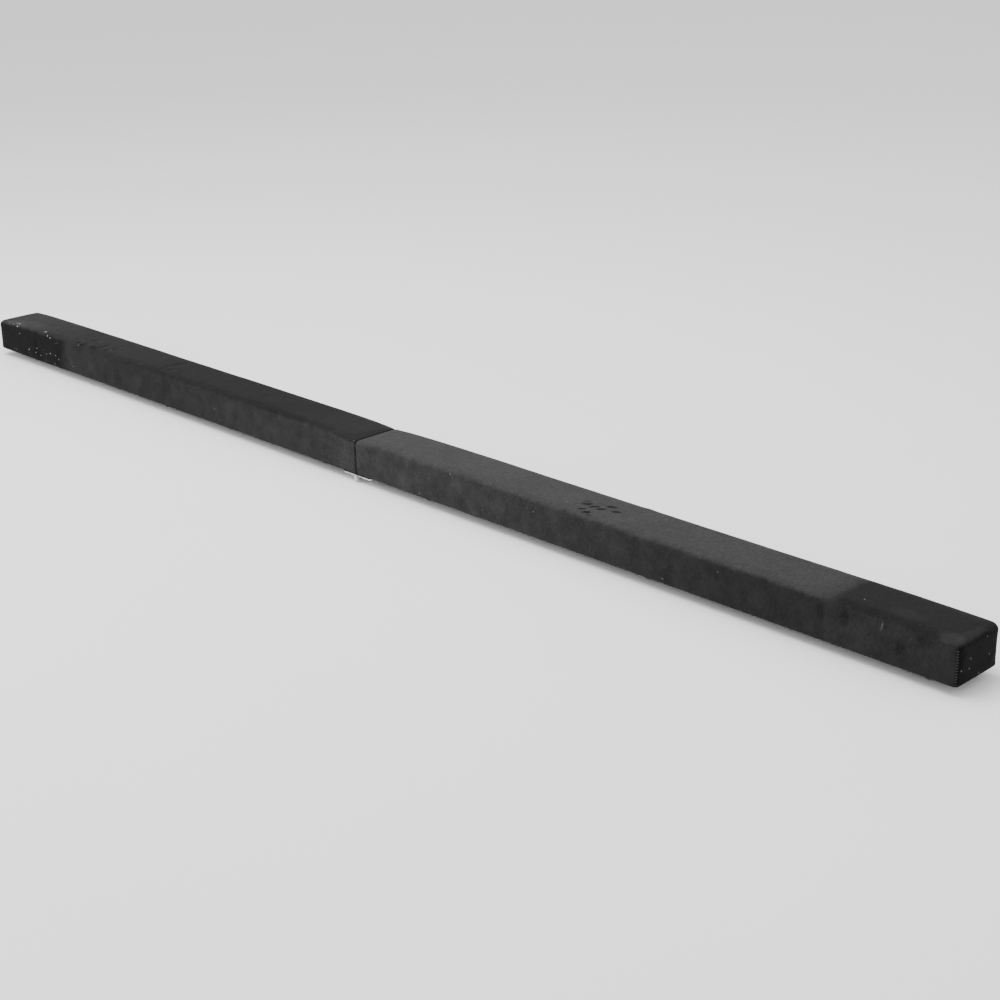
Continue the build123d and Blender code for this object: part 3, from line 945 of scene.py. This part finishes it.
def suede(side):
    """Black synthetic suede: a short nap, lighter where it lies one way and darker the other, with its sheen,
    the faces' shade, the ends' shade and a few highlights painted into its colour.
    """
    material, tree, shader = new_material(side + " black suede")
    place = object_place(tree)
    wandering = wandered(tree, place, 90.0, 0.008)
    tone, top_face = nap_and_shade_tone(tree, side, place)
    rubbed = cloud(tree, stretched(tree, wandering, (46.0, 46.0, 40.0)), 1.0, detail=5.0, roughness=0.66)
    mottle = brushed_mottle(tree, side, place, wandering, rubbed, top_face)
    mottle = rubbed_and_highlit_places(tree, side, wandering, mottle)
    mottle = crease_strokes(tree, side, wandering, mottle)
    # The right section gets a painted highlight along the joint's edge.
    if side == "right":
        mottle = hinge_edge_highlight(tree, place, mottle)
    fibres = use(tree, FIBRES, {"Place": place, "Size": FIBRE_SIZE})
    grainy = scaled(tree, fibres["Tone"], FIBRE_CONTRAST)
    share = calc(tree, "MULTIPLY", tone, calc(tree, "ADD", calc(tree, "ADD", 1.0, mottle), grainy))
    level = calc(tree, "MULTIPLY", share, NAP_BRIGHTEST)
    colour = add(tree, "ShaderNodeCombineColor", {channel: level for channel in range(3)}).outputs[0]
    tree.links.new(linty(tree, side, place, colour), shader.inputs["Base Color"])
    set_shader(shader, Roughness=0.95, Specular_IOR_Level=0.12, Sheen_Weight=0.035, Sheen_Roughness=0.5)
    shader.inputs["Sheen Tint"].default_value = grey(0.5)
    height = calc(tree, "ADD", fibres["Height"], calc(tree, "MULTIPLY", rubbed, 1.2))
    raise_surface(tree, shader, height, NAP_HEIGHT, 0.8)
    return material


def seam_thread():
    """Dark polyester thread with a faint twist."""
    material, tree, shader = new_material("seam thread")
    place = object_place(tree)
    twist_inputs = {"Vector": place, "Scale": 900.0, "Distortion": 1.5}
    twist = add(tree, "ShaderNodeTexWave", twist_inputs, bands_direction="DIAGONAL").outputs["Color"]
    twist = part_of(tree, twist, 0)
    worn = cloud(tree, place, 220.0, detail=2.0)
    twisted, worn = calc(tree, "MULTIPLY", twist, 0.5), calc(tree, "MULTIPLY", worn, 0.6)
    tone = calc(tree, "ADD", twisted, worn, clamp=True)
    tree.links.new(blend_colours(tree, tone, grey(0.010), grey(0.045)), shader.inputs["Base Color"])
    set_shader(shader, Roughness=0.6, Sheen_Weight=0.2)
    raise_surface(tree, shader, twist, 0.0002)
    return material


# ---------------------------------------------------------------- foam, wood, liner cloth


def closed_cell_foam():
    """Charcoal closed-cell foam: small skinned cells, some of them cut open, with painted shade in the open
    pits.
    """
    material, tree, shader = new_material("charcoal foam")
    place = object_place(tree)
    cells = add(tree, "ShaderNodeTexVoronoi", {"Vector": place, "Scale": 620.0})
    open_cells = add(tree, "ShaderNodeTexVoronoi", {"Vector": place, "Scale": 230.0})
    pits = fade(tree, open_cells.outputs["Distance"], 0.10, 0.32)
    shade = calc(tree, "MULTIPLY", fade(tree, cells.outputs["Distance"], 0.0, 0.75), 0.5)
    shade = calc(tree, "ADD", shade, calc(tree, "MULTIPLY", cloud(tree, place, 18.0, detail=3.0), 0.5))
    # The open pits are painted darker: painted shade in the hollows.
    shade = calc(tree, "MULTIPLY", shade, pits, clamp=True)
    colour = blend_colours(tree, shade, grey(0.035), (0.17, 0.18, 0.19, 1.0))
    tree.links.new(colour, shader.inputs["Base Color"])
    tree.links.new(fade(tree, pits, 0.0, 1.0, 0.95, 0.7), shader.inputs["Roughness"])
    height = calc(tree, "ADD", calc(tree, "MULTIPLY", cells.outputs["Distance"], 0.4), pits)
    raise_surface(tree, shader, height, 0.0004, 0.8)
    set_shader(shader, Specular_IOR_Level=0.3)
    return material


def growth_rings(tree, place):
    """The dark late wood of growth rings round a pith far below the board."""
    bent_place = stretched(tree, place, (2.5, 26.0, 26.0))
    bent = add(tree, "ShaderNodeTexNoise", {"Vector": bent_place, "Scale": 1.0}).outputs["Color"]
    bent = vector_calc(tree, "SUBTRACT", bent, (0.5, 0.5, 0.5))
    bent = add(tree, "ShaderNodeVectorMath", {0: bent, 3: 0.012}, operation="SCALE").outputs[0]
    ring_inputs = {"Vector": vector_calc(tree, "ADD", place, bent), "Location": (0.0, 0.03, 0.06)}
    ring_place = add(tree, "ShaderNodeMapping", ring_inputs).outputs[0]
    rings = add(
        tree,
        "ShaderNodeTexWave",
        {"Vector": ring_place, "Scale": 62.0, "Distortion": 1.2, "Detail": 2.0, "Detail Scale": 0.6},
        wave_type="RINGS",
        rings_direction="X",
        wave_profile="SAW",
    ).outputs["Color"]
    return fade(tree, part_of(tree, rings, 0), 0.45, 0.98)


def pine():
    """Planed pine: growth rings, fine pores and a few knots."""
    material, tree, shader = new_material("planed pine")
    place = object_place(tree)
    late = growth_rings(tree, place)
    pores = cloud(tree, stretched(tree, place, (60.0, 1900.0, 1900.0)), 1.0, detail=2.0)
    knot_place = stretched(tree, place, (5.0, 22.0, 12.0))
    knots = add(tree, "ShaderNodeTexVoronoi", {"Vector": knot_place, "Scale": 1.0})
    knot = fade(tree, knots.outputs["Distance"], 0.16, 0.05)
    colour = blend_colours(tree, late, (0.70, 0.50, 0.29, 1.0), (0.46, 0.26, 0.12, 1.0))
    colour = blend_colours(tree, calc(tree, "MULTIPLY", pores, 0.35), colour, (0.52, 0.34, 0.18, 1.0))
    colour = blend_colours(tree, knot, colour, (0.20, 0.09, 0.04, 1.0))
    tree.links.new(colour, shader.inputs["Base Color"])
    tree.links.new(fade(tree, late, 0.0, 1.0, 0.66, 0.5), shader.inputs["Roughness"])
    height = calc(tree, "ADD", calc(tree, "MULTIPLY", late, 0.6), calc(tree, "MULTIPLY", pores, 0.4))
    raise_surface(tree, shader, height, 0.00025)
    return material


def liner_cloth():
    """Spun-bonded black cloth with its rows of small heat-pressed dimples."""
    material, tree, shader = new_material("spun-bonded liner")
    place = object_place(tree)
    dimple_place = stretched(tree, place, (620.0, 620.0, 1.0), (0.0, 0.0, math.radians(45)))
    dimples = add(
        tree, "ShaderNodeTexVoronoi", {"Vector": dimple_place, "Scale": 1.0, "Randomness": 0.12}
    ).outputs["Distance"]
    pressed = fade(tree, dimples, 0.42, 0.22)
    threads = cloud(tree, stretched(tree, place, (900.0, 2400.0, 900.0), (0.0, 0.0, 0.7)), 1.0, detail=3.0)
    fibres = use(tree, FIBRES, {"Place": place, "Size": 0.0006})
    fuzz = calc(tree, "MULTIPLY", fibres["Tone"], 0.35)
    tone = calc(tree, "ADD", calc(tree, "MULTIPLY", threads, 0.55), fuzz)
    tone = calc(tree, "SUBTRACT", tone, calc(tree, "MULTIPLY", pressed, 0.30), clamp=True)
    lint = use(tree, LINT, {"Place": place, "Spacing": 0.014, "Share": 0.05})["Mask"]
    colour = blend_colours(tree, tone, grey(0.008), grey(0.05))
    colour = blend_colours(tree, calc(tree, "MULTIPLY", lint, 0.4), colour, grey(0.30))
    tree.links.new(colour, shader.inputs["Base Color"])
    tree.links.new(fade(tree, pressed, 0.0, 1.0, 0.75, 0.42), shader.inputs["Roughness"])
    height = calc(tree, "SUBTRACT", calc(tree, "MULTIPLY", threads, 0.5), pressed)
    raise_surface(tree, shader, height, 0.0003)
    return material


# ---------------------------------------------------------------- rubber and metal


def moulded_rubber():
    """Black moulded rubber: a fine mould texture, greyed by floor dust."""
    material, tree, shader = new_material("moulded rubber")
    place = object_place(tree)
    skin = cloud(tree, place, 1400.0, detail=2.0)
    bloom = cloud(tree, place, 90.0, detail=4.0, roughness=0.65)
    low = fade(tree, part_of(tree, place, 2), 0.006, 0.0)
    dust = calc(tree, "MULTIPLY", fade(tree, bloom, 0.42, 0.70), calc(tree, "ADD", 0.35, low), clamp=True)
    lint = use(tree, LINT, {"Place": place, "Spacing": 0.006, "Share": 0.12})["Mask"]
    colour = blend_colours(tree, calc(tree, "MULTIPLY", dust, 0.6), grey(0.012), grey(0.085))
    colour = blend_colours(tree, calc(tree, "MULTIPLY", lint, 0.5), colour, grey(0.30))
    tree.links.new(colour, shader.inputs["Base Color"])
    tree.links.new(fade(tree, dust, 0.0, 1.0, 0.48, 0.82), shader.inputs["Roughness"])
    raise_surface(tree, shader, calc(tree, "ADD", skin, calc(tree, "MULTIPLY", dust, 0.5)), 0.0002, 0.6)
    return material


def plated_steel(name, bright, dull, scratches, dullness):
    """Zinc-plated steel, between a bright colour and the one it dulls to."""
    material, tree, shader = new_material(name)
    place = object_place(tree)
    finish = use(tree, METAL_FINISH, {"Place": place, "Scratches": scratches, "Dullness": dullness})
    tree.links.new(blend_colours(tree, finish["Dull"], bright, dull), shader.inputs["Base Color"])
    tree.links.new(finish["Roughness"], shader.inputs["Roughness"])
    set_shader(shader, Metallic=1.0)
    raise_surface(tree, shader, finish["Height"], 0.00006, 0.5)
    return material


# ---------------------------------------------------------------- the object


def paint(nodes, material):
    """Gives CAD nodes that keep their shape a finished material."""
    for name in nodes:
        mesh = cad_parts[name].data
        mesh.materials.clear()
        mesh.materials.append(material)


def make_object():
    """Every new piece, and the finish of every CAD node that keeps its shape."""
    thread = seam_thread()
    foam = closed_cell_foam()
    liner = liner_cloth()
    wood = pine()
    rubber = moulded_rubber()
    hinge = plated_steel("hinge steel", (0.62, 0.62, 0.61, 1.0), (0.24, 0.24, 0.25, 1.0), 1.0, 0.85)
    screws = plated_steel("screw steel", (0.58, 0.57, 0.54, 1.0), (0.26, 0.25, 0.24, 1.0), 0.6, 0.7)
    wire = plated_steel("staple wire", (0.70, 0.70, 0.69, 1.0), (0.36, 0.36, 0.37, 1.0), 0.2, 0.6)
    paint(["hinge_pin"], hinge)
    for side in SIDES:
        cover = suede_cover(side, suede(side))
        corner_stitches(side, cover, thread)
        base_liner(side, liner)
        for name in FOAM_NAMES:
            foam_pad(side, name, foam)
        paint([f"{side}_{board}_board" for board in ("lower", "middle", "upper")], wood)
        paint([f"{side}_foot_{number}" for number in range(1, 7)], rubber)
        paint([side + "_hinge_leaf"], hinge)
        paint([f"{side}_{name}" for name in SCREW_NAMES], screws)
        paint([side + "_staples"], wire)


# ---------------------------------------------------------------- studio

CAMERA_TARGET = Vector((0.3133, 0.0, 0.0330))
CAMERA_DISTANCE = 3.010
CAMERA_AZIMUTH = math.radians(46.28)
CAMERA_ELEVATION = math.radians(20.68)
CAMERA_ROLL = math.radians(-1.27)
CAMERA_LENS_MM = 65.4
CAMERA_SENSOR_MM = 36.0
CAMERA_SEES_TO = 100.0
FLOOR_SIZE = 40.0
SURROUND_STRENGTH = 1.2


def make_camera():
    """A camera on a circle round its target, with a slight roll."""
    data = bpy.data.cameras.new("camera")
    data.lens = CAMERA_LENS_MM
    data.sensor_width = CAMERA_SENSOR_MM
    data.clip_end = CAMERA_SEES_TO
    camera = bpy.data.objects.new("camera", data)
    bpy.context.scene.collection.objects.link(camera)
    level = math.cos(CAMERA_ELEVATION)
    back = Vector(
        (math.sin(CAMERA_AZIMUTH) * level, -math.cos(CAMERA_AZIMUTH) * level, math.sin(CAMERA_ELEVATION))
    )
    aim = back.to_track_quat("Z", "Y").to_matrix().to_4x4()
    roll = Matrix.Rotation(CAMERA_ROLL, 4, "Z")
    camera.matrix_world = Matrix.Translation(CAMERA_TARGET + back * CAMERA_DISTANCE) @ aim @ roll
    bpy.context.scene.camera = camera


def pale_floor():
    """A pale matt floor that can be seen through from below, so that the underside can be looked at."""
    material, tree, shader = new_material("pale floor")
    tone = cloud(tree, object_place(tree), 3.0, detail=2.0)
    tree.links.new(blend_colours(tree, tone, grey(0.88), grey(0.91)), shader.inputs["Base Color"])
    set_shader(shader, Roughness=0.9, Specular_IOR_Level=0.1)
    clear = add(tree, "ShaderNodeBsdfTransparent")
    below = add(tree, "ShaderNodeNewGeometry").outputs["Backfacing"]
    both = add(tree, "ShaderNodeMixShader", {0: below, 1: shader.outputs[0], 2: clear.outputs[0]})
    output = next(node for node in tree.nodes if node.type == "OUTPUT_MATERIAL")
    tree.links.new(both.outputs[0], output.inputs[0])
    return material


def make_floor():
    """The studio floor, which isn't part of the object."""
    bm = bmesh.new()
    bmesh.ops.create_grid(bm, x_segments=1, y_segments=1, size=FLOOR_SIZE / 2)
    mesh = bpy.data.meshes.new("floor")
    bm.to_mesh(mesh)
    bm.free()
    mesh.materials.append(pale_floor())
    floor = bpy.data.objects.new("floor", mesh)
    bpy.context.scene.collection.objects.link(floor)


def area_light(name, place, target, size, power):
    """A round soft light aimed at a target."""
    data = bpy.data.lights.new(name, "AREA")
    data.shape = "DISK"
    data.size = size
    data.energy = power
    light = bpy.data.objects.new(name, data)
    light.location = place
    light.rotation_euler = (Vector(place) - Vector(target)).to_track_quat("Z", "Y").to_euler()
    bpy.context.scene.collection.objects.link(light)


def make_lights():
    """Two large soft lights and an even white surround."""
    area_light("overhead", (-0.4, -0.6, 3.4), (0.1, 0.0, 0.0), 3.2, 150.0)
    area_light("front_left", (-2.4, -3.2, 1.7), (0.0, 0.0, 0.0), 2.4, 60.0)
    world = bpy.data.worlds.new("studio")
    world.use_nodes = True
    background = world.node_tree.nodes["Background"]
    background.inputs["Color"].default_value = grey(1.0)
    background.inputs["Strength"].default_value = SURROUND_STRENGTH
    bpy.context.scene.world = world


make_camera()
make_floor()
make_lights()
make_object()
